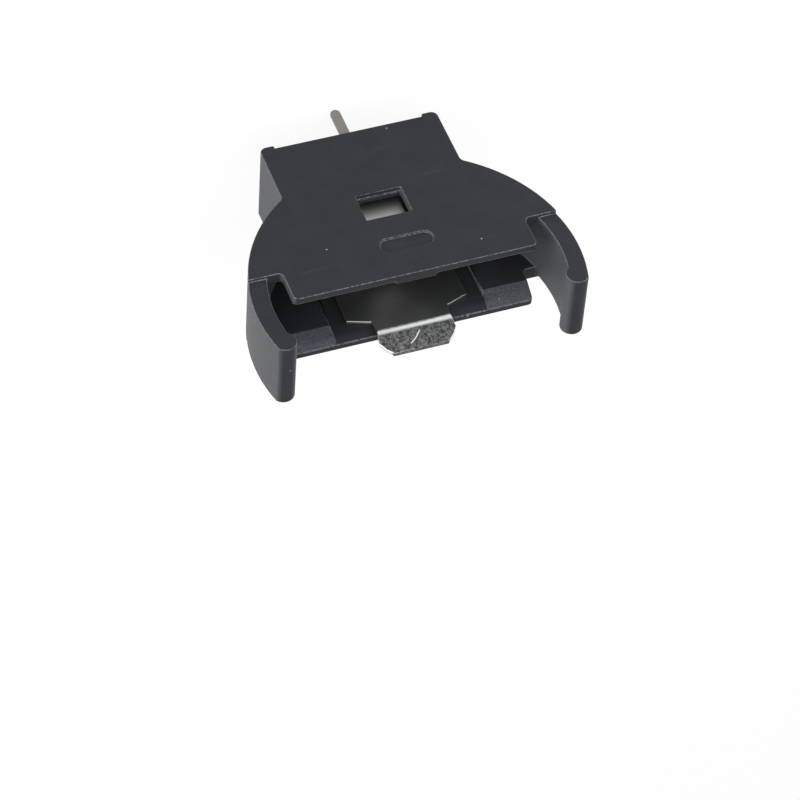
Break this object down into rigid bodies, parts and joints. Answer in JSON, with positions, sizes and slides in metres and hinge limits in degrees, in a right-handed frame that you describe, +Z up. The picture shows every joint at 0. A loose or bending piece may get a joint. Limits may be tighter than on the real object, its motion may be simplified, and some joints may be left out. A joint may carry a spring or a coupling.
{
  "type": "coin cell holder",
  "caption": "Upright through-board coin cell holder: round-bottomed moulded pocket with curved gripping arms, folded positive and negative spring contacts, flat solder pins.",
  "frame": {"origin": "middle of the base's footprint, on the board plane that the two foot rails stand on", "axes": "+Z up from the board, -Y towards the negative side with the minus sign, +Y towards the positive side with the plus sign, +X along the width"},
  "size_m": [0.023, 0.0062, 0.0213],
  "materials": {
    "housing_plastic": "fine matte grain, charcoal",
    "tinned_strip": "matte tin plate on spring strip"
  },
  "bodies": {
    "root": {"housing": "housing_plastic", "positive_contact": "tinned_strip", "negative_contact": "tinned_strip"}
  },
  "joints": []
}
